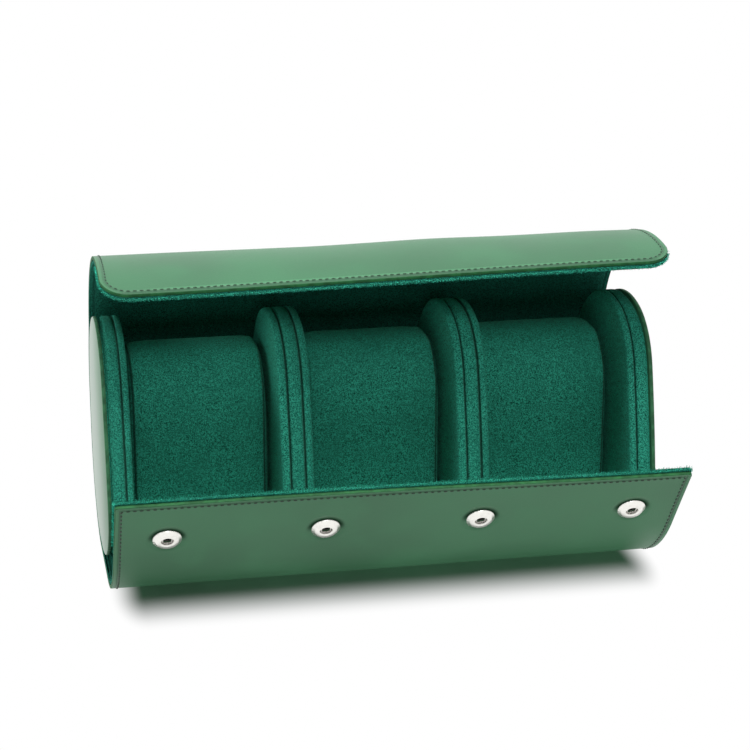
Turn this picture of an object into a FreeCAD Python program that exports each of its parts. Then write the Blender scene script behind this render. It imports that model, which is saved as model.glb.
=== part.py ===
import FreeCAD, Part
import math
import os

# Watch travel case, built in millimetres.
# X runs along the case, Y from front to back, Z up from the table.
# The case is drawn open, as it stands on a table, with its cushions in place.
# The origin is under the middle of the flat area that never moves.

# Overall body
case_length = 240.0
body_top = 110.2
overrun = 5.0

# Layers of the wrap, from the inside out
lining_thick = 1.4
board_thick = 0.8
leather_thick = 1.2
wrap_thick = lining_thick + board_thick + leather_thick
board_side_inset = 3.0
board_edge_inset = 2.0

# Outline of the end panels, drawn anticlockwise from the bottom
bottom_back_share = 0.5263
crown_share = 0.4855
crown_angle = 106.0
back_low_share = 0.71
brow_share = 0.56
brow_angle = 58.5
face_share = 7.5
face_angle = 6.5
chin_share = 0.374
chin_angle = 45.0
bottom_back = bottom_back_share * body_top
crown_radius = crown_share * body_top
back_low_radius = back_low_share * crown_radius
brow_radius = brow_share * crown_radius
face_radius = face_share * crown_radius
chin_radius = chin_share * crown_radius
back_drop = body_top - wrap_thick - back_low_radius - crown_radius

# Front flap, from its free edge down to the table
flap_slope_angle = 56.0
flap_straight = 37.6
flap_shin_radius = 67.6
flap_shin_angle = 25.0
flap_foot_radius = 40.6
flap_foot_angle = 31.0
flat_front = 17.3

# Lid, from the back fold to its free edge
lid_rise_heading = 114.0
lid_rise = 7.0
lid_back_radius = 67.8
lid_back_angle = 51.7
lid_front_radius = 77.8
lid_front_angle = 37.0
back_fold_heading = 132.0
lid_lift = 0.6
lid_corner_radius = 12.0
flap_corner_radius = 2.5

# Fold lines, measured along the inside of the lid and of the flap
fold_clearance = 0.3
fold_reach = 3.0
lid_fold = 36.0
flap_fold = 62.0
foot_fold_y = 36.0

# End panels
end_leather_thick = 1.7
end_band_start = 2.3
end_seam_place = 7.3
end_panel_inner = 10.3
end_lining_thick = 1.1
band_thick = 1.2
band_seam = 0.4
lining_inset = 0.6

# Dividers, which part the length between the end panels into three equal bays
divider_half = 6.9
cheek_thick = 1.2
divider_seam_place = 2.2
clear_length = case_length - 2 * (end_panel_inner + end_lining_thick)
bay_width = (clear_length - 4 * divider_half) / 3
divider_place = bay_width / 2 + divider_half

# Cushions
cushion_side_gap = 0.6
cushion_half = bay_width / 2 - cushion_side_gap
cushion_front = 27.0
cushion_back = 86.0
cushion_top = 96.4
cushion_lift = 0.5
cushion_radii = (20.0, 30.0, 28.0, 24.0)
cushion_spacing = bay_width + 2 * divider_half
cushion_places = (-cushion_spacing, 0.0, cushion_spacing)
cushion_names = ("left", "centre", "right")
cushion_section_shares = (-1.0, -0.95, -0.86, -0.5, 0.5, 0.86, 0.95, 1.0)
cushion_section_insets = (4.2, 1.9, 0.6, 0.0, 0.0, 0.6, 1.9, 4.2)
cover_thick = 1.5

# Ring snaps
snap_spacing_share = 0.2733
snap_spacing = snap_spacing_share * case_length
snap_edge = 24.2
stud_edge = 7.5
snap_flange_radius = 6.0
snap_flange_edge = 0.5
snap_ring_radius = 4.9
snap_ring_top_radius = 4.5
snap_shoulder = 0.9
snap_height = 1.8
snap_mouth_radius = 2.8
snap_bore_radius = 2.35
snap_bore_chamfer = 0.5
snap_groove_radius = 3.2
snap_groove_low = 0.5
snap_groove_high = 1.2
spring_wire_radius = 0.25
spring_half_gap = 1.9
spring_half_length = 2.3
post_radius = 1.9
post_bore_radius = 1.2
post_hole_radius = 2.0
post_flange_radius = 5.0
post_flange_thick = 0.5
stud_flange_radius = 5.0
stud_flange_thick = 0.5
stud_neck_radius = 1.5
stud_knob_radius = 2.0
stud_neck_height = 1.3
stud_knob_wide = 1.8
stud_height = 2.4
stud_tip_radius = 1.4
hidden_flange_radius = 4.2
hidden_flange_thick = 0.4
seat_clearance = 0.02

half_length = case_length / 2
fold_radius = wrap_thick / 2
os.makedirs("parts", exist_ok=True)


# Runs: a start point, a heading in degrees and a list of straight and turning pieces.
# A turning piece holds its radius and its turn, a straight one its length and no turn.

def piece_length(piece):
    size, turn = piece
    return size * math.radians(turn) if turn else size


def advance(start, heading, piece, offset=0.0):
    y, z = start
    size, turn = piece
    first = math.radians(heading)
    last = math.radians(heading + turn)
    if not turn:
        return (y + size * math.cos(first), z + size * math.sin(first))
    radius = size + offset
    across = radius * (math.sin(last) - math.sin(first))
    up = radius * (math.cos(first) - math.cos(last))
    return (y + across, z + up)


def shifted(point, heading, offset):
    angle = math.radians(heading)
    return (point[0] + offset * math.sin(angle), point[1] - offset * math.cos(angle))


def walk(run, distance):
    start, heading, pieces = run
    if distance == 0:
        return start, heading
    for index, piece in enumerate(pieces):
        length = piece_length(piece)
        if distance <= length or index == len(pieces) - 1:
            size, turn = piece
            part = (size, turn * distance / length) if turn else (distance, 0)
            return advance(start, heading, part), heading + part[1] * (turn != 0)
        distance -= length
        start = advance(start, heading, piece)
        heading += piece[1]


def run_length(run):
    return sum(piece_length(piece) for piece in run[2])


def cut_run(run, first, last):
    start, heading = walk(run, first)
    kept = []
    passed = 0.0
    for size, turn in run[2]:
        length = piece_length((size, turn))
        low = max(first, passed)
        high = min(last, passed + length)
        if high > low:
            kept.append((size, turn * (high - low) / length) if turn else (high - low, 0))
        passed += length
    return start, heading, kept


def vector(point, x=0.0):
    return FreeCAD.Vector(x, point[0] - origin_y, point[1])


def run_edges(run, offset, x):
    start, heading, pieces = run
    point = shifted(start, heading, offset)
    edges = []
    for piece in pieces:
        size, turn = piece
        end = advance(point, heading, piece, offset)
        if turn:
            middle = advance(point, heading, (size, turn / 2), offset)
            edges.append(Part.Arc(vector(point, x), vector(middle, x), vector(end, x)).toShape())
        else:
            edges.append(Part.makeLine(vector(point, x), vector(end, x)))
        point = end
        heading += turn
    return edges


def run_end(run):
    point, heading = run[0], run[1]
    for piece in run[2]:
        point = advance(point, heading, piece)
        heading += piece[1]
    return point, heading


def sheet(run, inner, outer, x_low, x_high):
    end, end_heading = run_end(run)
    start, heading = run[0], run[1]
    first = run_edges(run, inner, x_low)
    second = run_edges(run, outer, x_low)
    far = (vector(shifted(end, end_heading, inner), x_low), vector(shifted(end, end_heading, outer), x_low))
    near = (vector(shifted(start, heading, inner), x_low), vector(shifted(start, heading, outer), x_low))
    edges = first + second + [Part.makeLine(*far), Part.makeLine(*near)]
    face = Part.Face(Part.Wire(Part.__sortEdges__(edges)))
    return face.extrude(FreeCAD.Vector(x_high - x_low, 0, 0))


def plate(run, inset, x_low, x_high):
    wire = Part.Wire(Part.__sortEdges__(run_edges(run, -inset, x_low)))
    return Part.Face(wire).extrude(FreeCAD.Vector(x_high - x_low, 0, 0))


def save(name, shapes):
    shape = shapes[0] if len(shapes) == 1 else Part.makeCompound(shapes)
    shape.exportStep("parts/" + name + ".step")


# Where the body, the flap and the lid lie

def body_outline():
    pieces = [(back_low_radius, 90.0), (back_drop, 0), (crown_radius, crown_angle)]
    pieces += [(brow_radius, brow_angle), (face_radius, face_angle), (chin_radius, chin_angle)]
    end, heading = run_end(((bottom_back, wrap_thick), 0.0, pieces))
    left = math.radians(360.0 - heading)
    belly_radius = (end[1] - wrap_thick) / (1 - math.cos(left))
    bottom_front = end[0] + belly_radius * math.sin(left)
    pieces = [(bottom_back - bottom_front, 0)] + pieces + [(belly_radius, 360.0 - heading)]
    return (bottom_front, wrap_thick), 0.0, pieces


def flap_run():
    bends = [(flap_straight, 0), (flap_shin_radius, flap_shin_angle), (flap_foot_radius, flap_foot_angle)]
    end, heading = run_end(((0.0, 0.0), -flap_slope_angle, bends))
    start = (flat_front - end[0], wrap_thick - end[1])
    return start, -flap_slope_angle, bends + [(bottom_back - flat_front, 0)]


def back_run(extra=0.0):
    turn = back_fold_heading - 90.0 + math.degrees(extra / crown_radius)
    pieces = [(bottom_back - foot_fold_y, 0), (back_low_radius, 90.0), (back_drop, 0), (crown_radius, turn)]
    return (foot_fold_y, wrap_thick), 0.0, pieces


def lid_run():
    start = shifted(*run_end(back_run()), lid_lift)
    pieces = [(lid_rise, 0), (lid_back_radius, lid_back_angle), (lid_front_radius, lid_front_angle)]
    return start, lid_rise_heading, pieces


origin_y = (foot_fold_y + bottom_back) / 2
body_run = body_outline()
flap = flap_run()
back = back_run()
lid = lid_run()
foot_fold = run_length(flap) - (bottom_back - foot_fold_y)


# The wrap: leather outside, a thin board and a suede lining, in pieces between the folds

def rounded_corners(shape, run, at_start, radius):
    if at_start:
        point, heading = run[0], run[1]
        inward = 1.0
    else:
        point, heading = run_end(run)
        inward = -1.0
    angle = math.radians(heading)
    along = FreeCAD.Vector(0, inward * math.cos(angle), inward * math.sin(angle))
    normal = FreeCAD.Vector(0, math.sin(angle), -math.cos(angle))
    for side in (-1.0, 1.0):
        corner = vector(point, side * half_length) - normal * overrun - along * overrun
        corner += FreeCAD.Vector(side * overrun, 0, 0)
        inner = FreeCAD.Vector(-side * (radius + overrun), 0, 0)
        deep = along * (radius + overrun)
        centre = corner + inner + deep
        square = Part.makePolygon([corner, corner + inner, centre, corner + deep, corner])
        block = Part.Face(square).extrude(normal * (wrap_thick + overrun + overrun))
        post = Part.makeCylinder(radius, wrap_thick + overrun + overrun, centre, normal)
        shape = shape.cut(block.cut(post))
    return shape


def wrap_layers(run, start_free, end_free):
    length = run_length(run)
    low = board_edge_inset if start_free else 0.0
    high = length - (board_edge_inset if end_free else 0.0)
    side = half_length - board_side_inset
    lining = sheet(run, 0.0, lining_thick, -half_length, half_length)
    board = sheet(cut_run(run, low, high), lining_thick, lining_thick + board_thick, -side, side)
    leather = sheet(run, lining_thick + board_thick, wrap_thick, -half_length, half_length)
    return {"leather": leather, "board": board, "lining": lining}


def fold_at(run, distance):
    point, heading = walk(run, distance)
    return shifted(point, heading, fold_radius), heading


def fold_rod(fold, radius):
    start = vector(fold[0], -half_length - overrun)
    return Part.makeCylinder(radius, case_length + 2 * overrun, start, FreeCAD.Vector(1, 0, 0))


def rounded_end(shape, fold):
    angle = math.radians(fold[1])
    along = FreeCAD.Vector(0, math.cos(angle), math.sin(angle)) * (2 * fold_reach)
    across = FreeCAD.Vector(0, math.sin(angle), -math.cos(angle)) * fold_reach
    centre = vector(fold[0], -half_length - overrun)
    corners = [centre - across, centre + across, centre + across + along, centre - across + along]
    face = Part.Face(Part.makePolygon(corners + corners[:1]))
    beyond = face.extrude(FreeCAD.Vector(case_length + 2 * overrun, 0, 0))
    return shape.cut(beyond.cut(fold_rod(fold, fold_radius)))


def hollow_start(shape, fold):
    return shape.cut(fold_rod(fold, fold_radius + fold_clearance))


def wrap_pieces():
    lid_end = run_length(lid)
    back_fold = fold_at(lid, 0.0)
    back_end = (back_fold[0], back_fold_heading)
    front_fold = fold_at(lid, lid_fold)
    toe_fold = fold_at(flap, flap_fold)
    base_fold = fold_at(flap, foot_fold)
    plan = {
        "wrap": (back_run(fold_radius), base_fold, back_end, False, False),
        "lid_rear": (cut_run(lid, 0.0, lid_fold + fold_radius), back_fold, front_fold, False, False),
        "lid_front": (cut_run(lid, lid_fold, lid_end), front_fold, None, False, True),
        "front_flap": (cut_run(flap, 0.0, flap_fold + fold_radius), None, toe_fold, True, False),
        "flap_foot": (cut_run(flap, flap_fold, foot_fold + fold_radius), toe_fold, base_fold, False, False),
    }
    made = {}
    for name, (run, first_fold, last_fold, start_free, end_free) in plan.items():
        layers = wrap_layers(run, start_free, end_free)
        for layer, shape in layers.items():
            if first_fold:
                shape = hollow_start(shape, first_fold)
            if last_fold:
                shape = rounded_end(shape, last_fold)
            layers[layer] = shape
        made[name] = layers
    front = plan["lid_front"][0]
    for layer in ("leather", "lining"):
        made["lid_front"][layer] = rounded_corners(made["lid_front"][layer], front, False, lid_corner_radius)
        made["front_flap"][layer] = rounded_corners(made["front_flap"][layer], flap, True, flap_corner_radius)
    shorter = cut_run(front, 0.0, run_length(front) - board_edge_inset)
    inset = lid_corner_radius - board_edge_inset
    made["lid_front"]["board"] = rounded_corners(made["lid_front"]["board"], shorter, False, inset)
    return made


# Ring snaps: turned shapes around Z, set on the leather or on the lining

def turned(points):
    corners = [FreeCAD.Vector(radius, 0, height) for radius, height in points]
    wire = Part.makePolygon(corners + corners[:1])
    return Part.Face(wire).revolve(FreeCAD.Vector(), FreeCAD.Vector(0, 0, 1), 360)


def seated(shape, point, heading, outward, x):
    angle = math.radians(heading)
    normal = (math.sin(angle) * outward, -math.cos(angle) * outward)
    tilt = math.degrees(math.atan2(-normal[0], normal[1]))
    copy = shape.copy()
    copy.Placement = FreeCAD.Placement(vector(point, x), FreeCAD.Rotation(FreeCAD.Vector(1, 0, 0), tilt))
    return copy


def snap_places():
    return [snap_spacing * step for step in (-1.5, -0.5, 0.5, 1.5)]


def socket_shape():
    points = [(snap_bore_radius, 0), (snap_flange_radius, 0), (snap_flange_radius, snap_flange_edge)]
    points += [(snap_ring_radius, snap_shoulder), (snap_ring_top_radius, snap_height)]
    points += [(snap_mouth_radius, snap_height), (snap_bore_radius, snap_height - snap_bore_chamfer)]
    points += [(snap_bore_radius, snap_groove_high), (snap_groove_radius, snap_groove_high)]
    points += [(snap_groove_radius, snap_groove_low), (snap_bore_radius, snap_groove_low)]
    return turned(points)


def spring_shape():
    height = (snap_groove_low + snap_groove_high) / 2
    bars = []
    for side in (-1.0, 1.0):
        start = FreeCAD.Vector(side * spring_half_gap, -spring_half_length, height)
        bars.append(Part.makeCylinder(spring_wire_radius, 2 * spring_half_length, start, FreeCAD.Vector(0, 1, 0)))
    return Part.makeCompound(bars)


def post_shape(length, flange_radius, flange_thick):
    points = [(post_bore_radius, -flange_thick), (flange_radius, -flange_thick), (flange_radius, 0)]
    points += [(post_radius, 0), (post_radius, length), (post_bore_radius, length)]
    return turned(points)


def stud_shape():
    points = [(post_bore_radius, 0), (stud_flange_radius, 0), (stud_flange_radius, stud_flange_thick)]
    points += [(stud_neck_radius, stud_flange_thick), (stud_neck_radius, stud_neck_height)]
    points += [(stud_knob_radius, stud_knob_wide), (stud_tip_radius, stud_height), (post_bore_radius, stud_height)]
    return turned(points)


def hole(point, heading, x, radius, low, high):
    shape = Part.makeCylinder(radius, high - low, FreeCAD.Vector(0, 0, low))
    return seated(shape, point, heading, 1.0, x)


def flap_snaps(layers):
    point, heading = walk(flap, snap_edge)
    face = shifted(point, heading, wrap_thick)
    back_face = point
    for layer in layers:
        for x in snap_places():
            layers[layer] = layers[layer].cut(hole(point, heading, x, post_hole_radius, -overrun, wrap_thick + overrun))
    sockets = [seated(socket_shape(), face, heading, 1.0, x) for x in snap_places()]
    springs = [bar for x in snap_places() for bar in seated(spring_shape(), face, heading, 1.0, x).Solids]
    post = post_shape(wrap_thick, post_flange_radius, post_flange_thick)
    posts = [seated(post, back_face, heading, 1.0, x) for x in snap_places()]
    save("snap_sockets", sockets)
    save("snap_springs", springs)
    save("snap_socket_posts", posts)


def bow(radius):
    return radius * radius / (2 * lid_front_radius) + seat_clearance


def lid_snaps(layers):
    point, heading = walk(lid, run_length(lid) - stud_edge)
    depth = lining_thick + board_thick - bow(hidden_flange_radius)
    face = shifted(point, heading, -bow(stud_flange_radius))
    for x in snap_places():
        drill = hole(point, heading, x, post_hole_radius, -overrun, depth)
        layers["lining"] = layers["lining"].cut(drill)
        layers["board"] = layers["board"].cut(drill)
        pocket = hole(point, heading, x, hidden_flange_radius, depth - hidden_flange_thick, wrap_thick)
        layers["board"] = layers["board"].cut(pocket)
    seat = shifted(point, heading, depth - hidden_flange_thick)
    post = post_shape(depth - hidden_flange_thick, hidden_flange_radius, hidden_flange_thick)
    save("snap_studs", [seated(stud_shape(), face, heading, -1.0, x) for x in snap_places()])
    save("snap_stud_posts", [seated(post, seat, heading, -1.0, x) for x in snap_places()])


# End panels and dividers: a board core, suede bands round the rim and suede or leather faces

def rim_band(x_low, x_high):
    return plate(body_run, 0.0, x_low, x_high).cut(plate(body_run, band_thick, x_low - overrun, x_high + overrun))


def ordered(side, near, far):
    return (side * near, side * far) if side > 0 else (side * far, side * near)


def end_panel(name, side):
    outer = half_length
    leather = ordered(side, outer - end_leather_thick, outer)
    board = ordered(side, outer - end_panel_inner, outer - end_leather_thick)
    wide = ordered(side, outer - end_seam_place + band_seam / 2, outer - end_band_start)
    narrow = ordered(side, outer - end_panel_inner, outer - end_seam_place - band_seam / 2)
    lining = ordered(side, outer - end_panel_inner - end_lining_thick, outer - end_panel_inner)
    save("end_leather_" + name, [plate(body_run, 0.0, *leather)])
    save("end_board_" + name, [plate(body_run, band_thick, *board)])
    save("end_band_" + name, [rim_band(*wide), rim_band(*narrow)])
    save("end_lining_" + name, [plate(body_run, lining_inset, *lining)])


def divider(name, place):
    inner = divider_half - cheek_thick
    low = divider_seam_place - band_seam / 2
    high = divider_seam_place + band_seam / 2
    save("divider_board_" + name, [plate(body_run, band_thick, place - inner, place + inner)])
    bands = [rim_band(place - inner, place - high), rim_band(place - low, place + low)]
    bands.append(rim_band(place + high, place + inner))
    save("divider_band_" + name, bands)
    cheeks = [plate(body_run, lining_inset, place - divider_half, place - inner)]
    cheeks.append(plate(body_run, lining_inset, place + inner, place + divider_half))
    save("divider_cheeks_" + name, cheeks)


# Cushions: a suede cover round a foam core, full in the middle and drawn in at the sides

def cushion_wire(x, inset):
    bottom_front, bottom_rear, top_rear, top_front = [radius - inset for radius in cushion_radii]
    low = wrap_thick + cushion_lift + inset
    high = cushion_top - inset
    front = cushion_front + inset
    rear = cushion_back - inset
    pieces = [(rear - front - bottom_front - bottom_rear, 0), (bottom_rear, 90.0)]
    pieces += [(high - low - bottom_rear - top_rear, 0), (top_rear, 90.0)]
    pieces += [(rear - front - top_rear - top_front, 0), (top_front, 90.0)]
    pieces += [(high - low - top_front - bottom_front, 0), (bottom_front, 90.0)]
    run = ((front + bottom_front, low), 0.0, pieces)
    return Part.Wire(Part.__sortEdges__(run_edges(run, 0.0, x)))


def cushion_form(place, shrink):
    wires = []
    for share, inset in zip(cushion_section_shares, cushion_section_insets):
        wires.append(cushion_wire(place + share * (cushion_half - shrink), inset + shrink))
    return Part.makeLoft(wires, True, True)


def cushion(name, place):
    core = cushion_form(place, cover_thick)
    save("cushion_cover_" + name, [cushion_form(place, 0.0).cut(core)])
    save("cushion_core_" + name, [core])


def main():
    layers = wrap_pieces()
    flap_snaps(layers["front_flap"])
    lid_snaps(layers["lid_front"])
    for name, made in layers.items():
        for layer, shape in made.items():
            save(name + "_" + layer, [shape])
    end_panel("left", -1.0)
    end_panel("right", 1.0)
    divider("left", -divider_place)
    divider("right", divider_place)
    for name, place in zip(cushion_names, cushion_places):
        cushion(name, place)


main()
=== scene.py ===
import math

import bmesh
import bpy
import numpy as np
from bpy.props import FloatProperty, FloatVectorProperty, IntProperty, PointerProperty
from bpy.types import Operator, Panel, PropertyGroup
from mathutils import Matrix, Vector, noise


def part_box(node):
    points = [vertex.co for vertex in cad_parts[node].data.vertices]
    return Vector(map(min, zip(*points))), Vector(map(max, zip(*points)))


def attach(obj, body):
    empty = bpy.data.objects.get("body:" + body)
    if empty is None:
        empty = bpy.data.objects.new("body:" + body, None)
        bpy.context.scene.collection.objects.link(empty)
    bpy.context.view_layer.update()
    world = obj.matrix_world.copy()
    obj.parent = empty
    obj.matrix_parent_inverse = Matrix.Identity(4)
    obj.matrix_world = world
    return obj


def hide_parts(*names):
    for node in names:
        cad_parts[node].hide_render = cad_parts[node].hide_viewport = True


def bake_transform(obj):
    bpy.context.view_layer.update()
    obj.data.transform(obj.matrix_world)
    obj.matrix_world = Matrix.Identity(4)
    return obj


bl_info = {
    "name": "Watch Travel Case",
    "version": (1, 0, 0),
    "blender": (4, 5, 0),
    "location": "3D View > Sidebar > Travel Case",
    "description": "A roll-shaped case with a leather wrap, suede lining, dividers, cushions and ring snaps",
    "category": "Add Mesh",
}

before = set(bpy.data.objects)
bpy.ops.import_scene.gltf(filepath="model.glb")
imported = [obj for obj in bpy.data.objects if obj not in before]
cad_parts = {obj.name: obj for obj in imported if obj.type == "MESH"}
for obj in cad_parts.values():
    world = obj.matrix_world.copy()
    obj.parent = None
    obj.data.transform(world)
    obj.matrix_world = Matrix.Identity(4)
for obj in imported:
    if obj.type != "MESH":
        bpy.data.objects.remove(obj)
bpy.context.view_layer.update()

MM = 0.001
QUARTER = math.pi / 2
HALF_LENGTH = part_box("wrap_leather")[1].x
WRAP_THICK = 3.4 * MM
LAYER_GAP = 0.02 * MM
LINING_ROUND = 0.8 * MM
ORIGIN_Y = 47.0 * MM

# Side outlines of the case. Each stretch is a length and 0, or a radius and a turn in degrees
BODY_TOP = 110.2 * MM
BOTTOM_BACK_Y = 58.0 * MM
CROWN_RADIUS = 53.5 * MM
CROWN_ANGLE = 106.0
BACK_LOW_RADIUS = 38.0 * MM
BACK_DROP = BODY_TOP - WRAP_THICK - BACK_LOW_RADIUS - CROWN_RADIUS
BROW_FACE_CHIN = [(30.0 * MM, 58.5), (400.0 * MM, 6.5), (20.0 * MM, 45.0)]
FLAP_SLOPE = 56.0
FLAP_BENDS = [(37.6 * MM, 0), (67.6 * MM, 25.0), (40.6 * MM, 31.0)]
FLAT_FRONT_Y = 17.3 * MM
BACK_FOLD_HEADING = 132.0
LID_HEADING = 114.0
LID_BENDS = [(7.0 * MM, 0), (67.8 * MM, 51.7), (77.8 * MM, 37.0)]
LID_LIFT = 0.6 * MM

# Folds and the seams between strips, measured along the inside of the lid and of the flap
LID_FOLD = 36.0 * MM
LID_SEAM = 19.0 * MM
FLAP_FOLD = 62.0 * MM
FOOT_SEAM = 84.0 * MM
FOOT_FOLD_Y = 36.0 * MM
BASE_SEAM_Y = 47.0 * MM
FOLD_EASE = 6.0 * MM

# Grid of the wrap
STEP = 2.0 * MM
SEAM_STEP = 0.1 * MM
BRIDGE_STEPS = 6
COLUMNS = 61
CORNER_ROWS = 10
EDGE_SPOTS = 401
NO_EDGE = 0.1

# Strips of the wrap, each with its leather, its suede, and the parts of the frame that it stands for
STRIPS = {
    "front": ("flap_leather", "flap_suede", ["front_flap"]),
    "foot": ("foot_leather", "flap_suede", ["flap_foot"]),
    "back": ("wrap_leather", "flap_suede", ["wrap", "lid_rear"]),
    "lid": ("lid_leather", "lid_suede", ["lid_front"]),
}

# Free edges. A lift is the height of the right end and the powers by which it fades across and along
CORNERS = {"front": 1.3 * MM, "lid": 12.0 * MM}
WAVES = {"front": 0.5 * MM, "lid": 0.7 * MM}
WAVE_SCALE = (22.0, 26.0)
WAVE_SLICE = 3.7
WAVE_FADE = 40.0 * MM
LIFTS = {"front": (2.4 * MM, 2, 2), "lid": (3.6 * MM, 1, 3)}

# Snaps, measured from the free edges
SNAP_SPACING = 65.6 * MM
SNAP_PLACES = [SNAP_SPACING * step for step in (-1.5, -0.5, 0.5, 1.5)]
SNAP_EDGES = {"front": 24.2 * MM, "lid": 7.5 * MM}
POST_HOLE_RADIUS = 2.0 * MM

# Rims of the end panels and dividers
RIM_STEP = 1.6 * MM
RIM_GAP = 0.1 * MM
SEAM_DEPTH = 1.3 * MM
SHOULDER = 1.7 * MM
SHOULDER_POINTS = 5
SIDE_DEPTH = RIM_GAP + 4 * SHOULDER
BAND_POINTS = 9
END_LEATHER = 1.7 * MM
END_BAND_START = 2.5 * MM
END_SEAM = 8.3 * MM
END_INNER = 11.4 * MM
END_TUCK = [(END_LEATHER, 3.0 * MM), (END_LEATHER + 0.5 * MM, 2.8 * MM), (END_BAND_START, SEAM_DEPTH)]
BAND_EASE = 0.2 * MM
FLAT_FACE = 0.9
DIVIDER_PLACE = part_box("divider_board_right")[0].x / 2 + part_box("divider_board_right")[1].x / 2
DIVIDER_HALF = 6.9 * MM
DIVIDER_SEAM = 3.2 * MM

# Cushions. The radii go round from low in front by the back, an end is shares of the half width and insets
CUSHION_LOW, CUSHION_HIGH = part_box("cushion_cover_centre")
CUSHION_FRONT = 27.0 * MM
CUSHION_BACK = 86.0 * MM
CUSHION_RADII = (20.0 * MM, 30.0 * MM, 28.0 * MM, 24.0 * MM)
CUSHION_POINTS = 72
CUSHION_END = [(1.0, 2.4 * MM), (0.97, 0.8 * MM), (0.90, 0.2 * MM), (0.6, 0.0)]
CUSHION_SEAM = CUSHION_HIGH.x - 2.6 * MM
CUSHION_START = 1.6 * MM
CUSHION_CAP = 3.0 * MM
CUSHION_MARGIN = 0.2 * MM

# Thread and fringe
THREAD_LIFT = 0.02 * MM
STITCH_SEED = 7
SIDE_POINTS = 61
TURN_POINTS = 9
ACROSS_POINTS = 81
FRINGE_REACH = 30.0 * MM
FRINGE_INSET = 0.3 * MM
FRINGE_ROWS = (0.35 * MM, 0.85 * MM, 1.35 * MM)
FRINGE_THICK = 0.16 * MM
FRINGE_TIP = 0.04 * MM
FRINGE_SEED = 11

# Stage
FLOOR_SIZE = 6.0
FLOOR_GLOW = 0.60
FLOOR_LIFT = 0.6
FLOOR_FAR = 39.0 * MM
FLOOR_HALF = HALF_LENGTH - 14.0 * MM
FLOOR_MIDDLE = -2.0 * MM
FLOOR_DEEP = 46.5 * MM
FLOOR_BESIDE = 2.6
WORLD_GLOW = 0.03
LAMP_TARGET = (0.0, 0.0, 0.06)
CAMERA_PLACE = (-171.44 * MM, -905.05 * MM, 371.78 * MM)
CAMERA_YAW = math.radians(10.963)
CAMERA_PITCH = math.radians(17.741)
CAMERA_FOCUS_SHARE = 2167.93 / 750
SENSOR_WIDTH = 36.0
WHITE = (1.0, 1.0, 1.0, 1.0)


def length_property(name, length, description):
    return FloatProperty(name=name, description=description, default=length * MM, unit="LENGTH")


def colour_property(name, colour, description):
    return FloatVectorProperty(name=name, description=description, default=colour, subtype="COLOR", size=3)


class CaseSizes(PropertyGroup):
    leather_thick: length_property("Leather", 1.6, "Thickness of the outer leather")
    edge_round: length_property("Edge round", 0.35, "Rounding of the cut edges")
    lining_step: length_property(
        "Lining step", 0.5, "How far the suede reaches past the leather at a free edge"
    )
    stitch_pitch: length_property("Stitch pitch", 2.7, "Distance between stitches")
    stitch_length: length_property("Stitch length", 1.7, "Visible length of a stitch")
    thread_thick: length_property("Thread", 0.72, "Thickness of the sewing thread")
    seam_inset: length_property("Seam inset", 2.2, "Distance of the seam from the edge")
    fringe_pitch: length_property("Fringe pitch", 0.36, "Distance between tufts along a suede edge")
    fringe_length: length_property("Fringe length", 1.35, "Length of the nap at a suede edge")
    cushion_voxel: length_property("Cushion grid", 4.0, "Grid size of the stuffed cushions")
    cushion_pressure: FloatProperty(
        name="Cushion pressure", description="How tightly the cushions are stuffed", default=4.0
    )
    cushion_frames: IntProperty(
        name="Cushion steps", description="Steps of cloth motion that fill the cushions", default=20
    )


class CaseColours(PropertyGroup):
    leather: colour_property("Leather", (0.047, 0.188, 0.086), "Coated green leather")
    leather_edge: colour_property("Leather edge", (0.018, 0.115, 0.036), "Painted cut edge")
    suede: colour_property("Suede", (0.026, 0.262, 0.181), "Lining suede")
    # Dark green thread made darker with painted shade of the stitch holes
    thread: colour_property("Thread", (0.006, 0.030, 0.014), "Sewing thread")
    nickel: colour_property("Nickel", (0.92, 0.91, 0.86), "Plated snaps")
    floor: colour_property("Floor", (0.90, 0.90, 0.90), "Table under the case")


# Outlines, walked by their length


def spread(first, last, count):
    """Evenly spaced numbers from first to last."""
    return [first + (last - first) * index / (count - 1) for index in range(count)]


def ahead(heading):
    """One metre along a heading, in the drawing of the outlines."""
    angle = math.radians(heading)
    return Vector((math.cos(angle), math.sin(angle)))


def outward(heading, offset):
    angle = math.radians(heading)
    return Vector((math.sin(angle), -math.cos(angle))) * offset


def raised(flat):
    """A direction of the drawing in the case's own frame."""
    return Vector((0.0, flat.x, flat.y))


def place(point, x):
    return Vector((x, point.x - ORIGIN_Y, point.y))


class Outline:
    """A side outline of straight and turning stretches, in the case's own drawing frame."""

    def __init__(self, start, heading, stretches):
        self.start = Vector(start)
        self.heading = heading
        self.stretches = stretches

    def length(self):
        return sum(size * math.radians(turn) if turn else size for size, turn in self.stretches)

    def at(self, distance):
        """The point and heading that far along."""
        point = self.start.copy()
        heading = self.heading
        for size, turn in self.stretches:
            whole = size * math.radians(turn) if turn else size
            part = min(distance, whole)
            if turn:
                first, last = math.radians(heading), math.radians(heading + turn * part / whole)
                point += size * Vector((math.sin(last) - math.sin(first), math.cos(first) - math.cos(last)))
                heading += turn * part / whole
            else:
                point += part * ahead(heading)
            distance -= part
            if distance <= 1e-9:
                break
        return point, heading

    def samples(self, first, last, step):
        """Evenly spaced points and headings between two distances, with a short step at each end."""
        rows = spread(first, last, max(2, round((last - first) / step) + 1))
        rows = rows[:1] + [first + SEAM_STEP] + rows[1:-1] + [last - SEAM_STEP] + rows[-1:]
        return [self.at(distance) for distance in rows]


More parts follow.
